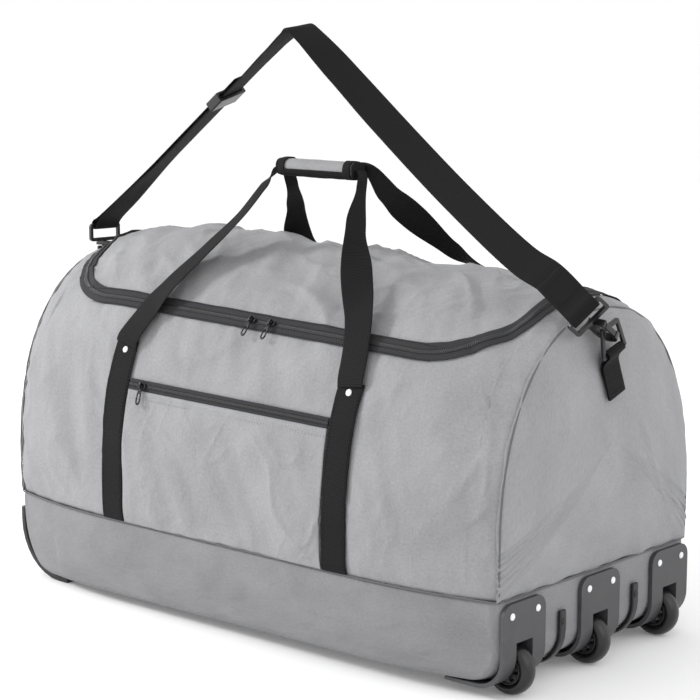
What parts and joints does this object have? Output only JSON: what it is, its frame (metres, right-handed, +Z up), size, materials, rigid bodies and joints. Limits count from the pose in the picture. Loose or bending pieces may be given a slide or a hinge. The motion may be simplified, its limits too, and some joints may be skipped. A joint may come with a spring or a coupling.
{
  "type": "rolling duffel bag",
  "caption": "Long soft duffel bag with a stiff wheeled end, a U-shaped zipped top flap, a front pocket, carry handles joined by a padded grip and a clip-on shoulder strap.",
  "frame": {"origin": "centre of the overall box, on the floor", "axes": "+X along the bag towards the wheels, -Y to the front pocket side, +Z up"},
  "size_m": [0.9349, 0.4596, 0.7772],
  "materials": {
    "fabric": "woven canvas, matt",
    "tray_fabric": "woven canvas, matt",
    "webbing": "ribbed webbing, matt",
    "zip_tape": "woven zip tape with moulded coil",
    "housing_plastic": "fine-grained moulded plastic",
    "black_plastic": "satin moulded plastic",
    "hub_plastic": "satin",
    "tyre": "satin moulded",
    "steel": "plain turned",
    "rivet": "white enamel",
    "gunmetal": "dark plated",
    "board": "stiff pressed board"
  },
  "bodies": {
    "bag": {"body_wrap": "fabric", "lid_flap": "fabric", "end_panel_left": "fabric", "end_panel_right": "fabric", "pocket_panel": "fabric", "bottom_tray": "tray_fabric", "base_board": "board", "main_zip_tape": "zip_tape", "pocket_zip_tape": "zip_tape", "sewn_strap_front_left": "webbing", "strap_rivet_front_left": "rivet", "sewn_strap_front_right": "webbing", "strap_rivet_front_right": "rivet", "skid_rib_front": "black_plastic", "corner_skid_front": "black_plastic", "sewn_strap_rear_left": "webbing", "strap_rivet_rear_left": "rivet", "sewn_strap_rear_right": "webbing", "strap_rivet_rear_right": "rivet", "skid_rib_rear": "black_plastic", "corner_skid_rear": "black_plastic", "wheel_housing_front": "housing_plastic", "axle_front": "steel", "housing_rivet_front_a": "rivet", "housing_rivet_front_b": "rivet", "wheel_housing_middle": "housing_plastic", "axle_middle": "steel", "housing_rivet_middle_a": "rivet", "housing_rivet_middle_b": "rivet", "wheel_housing_rear": "housing_plastic", "axle_rear": "steel", "housing_rivet_rear_a": "rivet", "housing_rivet_rear_b": "rivet", "ring_tab_left": "webbing", "d_ring_left": "black_plastic", "ring_tab_right": "webbing", "d_ring_right": "black_plastic"},
    "wheel_front": {"tyre_front": "tyre", "wheel_hub_front": "hub_plastic"},
    "wheel_middle": {"tyre_middle": "tyre", "wheel_hub_middle": "hub_plastic"},
    "wheel_rear": {"tyre_rear": "tyre", "wheel_hub_rear": "hub_plastic"},
    "front_handle": {"front_handle": "webbing", "grip_wrap": "fabric"},
    "rear_handle": {"rear_handle": "webbing"},
    "shoulder_strap": {"shoulder_strap": "webbing", "swivel_frame_left": "black_plastic", "swivel_frame_right": "black_plastic"},
    "tri_glide": {"tri_glide": "black_plastic"},
    "hook_left": {"snap_hook_left": "black_plastic"},
    "gate_left": {"hook_gate_left": "black_plastic"},
    "hook_right": {"snap_hook_right": "black_plastic"},
    "gate_right": {"hook_gate_right": "black_plastic"},
    "slider_main_a": {"zip_slider_main_a": "gunmetal"},
    "pull_main_a": {"zip_pull_main_a": "gunmetal"},
    "slider_main_b": {"zip_slider_main_b": "gunmetal"},
    "pull_main_b": {"zip_pull_main_b": "gunmetal"},
    "slider_pocket": {"zip_slider_pocket": "gunmetal"},
    "pull_pocket": {"zip_pull_pocket": "gunmetal"}
  },
  "joints": [
    {"name": "wheel_front_spin", "type": "hinge", "parent": "bag", "child": "wheel_front", "pos_m": [0.411, -0.155, 0.0315], "axis": [0, 1, 0], "continuous": true},
    {"name": "wheel_middle_spin", "type": "hinge", "parent": "bag", "child": "wheel_middle", "pos_m": [0.411, 0, 0.0315], "axis": [0, 1, 0], "continuous": true},
    {"name": "wheel_rear_spin", "type": "hinge", "parent": "bag", "child": "wheel_rear", "pos_m": [0.411, 0.155, 0.0315], "axis": [0, 1, 0], "continuous": true},
    {"name": "front_handle_swing", "type": "hinge", "parent": "bag", "child": "front_handle", "pos_m": [0, -0.20107, 0.34346], "axis": [0.9997, 0, -0.0244], "range_deg": [0, 125]},
    {"name": "rear_handle_swing", "type": "hinge", "parent": "bag", "child": "rear_handle", "pos_m": [0, 0.20107, 0.34346], "axis": [0.9997, 0, -0.0244], "range_deg": [-125, 0]},
    {"name": "shoulder_strap_swing", "type": "hinge", "parent": "bag", "child": "shoulder_strap", "pos_m": [0, -0.01437, 0.4138], "axis": [0.9999, -0.0141, -0.004], "range_deg": [-20, 12]},
    {"name": "tri_glide_slide", "type": "slide", "parent": "shoulder_strap", "child": "tri_glide", "axis": [0.8283, -0.0988, 0.5515], "range_m": [-0.045, 0.045]},
    {"name": "hook_left_swivel", "type": "hinge", "parent": "shoulder_strap", "child": "hook_left", "pos_m": [-0.452, -0.008, 0.455], "axis": [0, 0, 1], "range_deg": [-20, 20]},
    {"name": "gate_left_open", "type": "hinge", "parent": "hook_left", "child": "gate_left", "pos_m": [-0.4635, -0.008, 0.4307], "axis": [0, 1, 0], "range_deg": [0, 17], "stiffness_Nm_per_rad": 0.02, "springref_deg": -5.73},
    {"name": "hook_right_swivel", "type": "hinge", "parent": "shoulder_strap", "child": "hook_right", "pos_m": [0.452, -0.05416, 0.43288], "axis": [0, -0.848, 0.5299], "range_deg": [-20, 20]},
    {"name": "gate_right_open", "type": "hinge", "parent": "hook_right", "child": "gate_right", "pos_m": [0.4635, -0.03355, 0.42], "axis": [0, 0.5299, 0.848], "range_deg": [-17, 0], "stiffness_Nm_per_rad": 0.02, "springref_deg": 5.73},
    {"name": "slider_main_a_slide", "type": "slide", "parent": "bag", "child": "slider_main_a", "axis": [0.9994, 0, -0.0333], "range_m": [-0.13, 0.009]},
    {"name": "pull_main_a_swing", "type": "hinge", "parent": "slider_main_a", "child": "pull_main_a", "pos_m": [0.00419, -0.1686, 0.40904], "axis": [0.9994, 0, -0.0333], "range_deg": [-110, 0]},
    {"name": "slider_main_b_slide", "type": "slide", "parent": "bag", "child": "slider_main_b", "axis": [0.9994, 0, -0.0333], "range_m": [-0.009, 0.11]},
    {"name": "pull_main_b_swing", "type": "hinge", "parent": "slider_main_b", "child": "pull_main_b", "pos_m": [0.03819, -0.16859, 0.40792], "axis": [0.9994, 0, -0.0333], "range_deg": [-110, 0]},
    {"name": "slider_pocket_slide", "type": "slide", "parent": "bag", "child": "slider_pocket", "axis": [0.9998, 0, -0.0185], "range_m": [0, 0.31]},
    {"name": "pull_pocket_swing", "type": "hinge", "parent": "slider_pocket", "child": "pull_pocket", "pos_m": [-0.14994, -0.21867, 0.30982], "axis": [0.9998, 0, -0.0185], "range_deg": [-110, 0]}
  ]
}
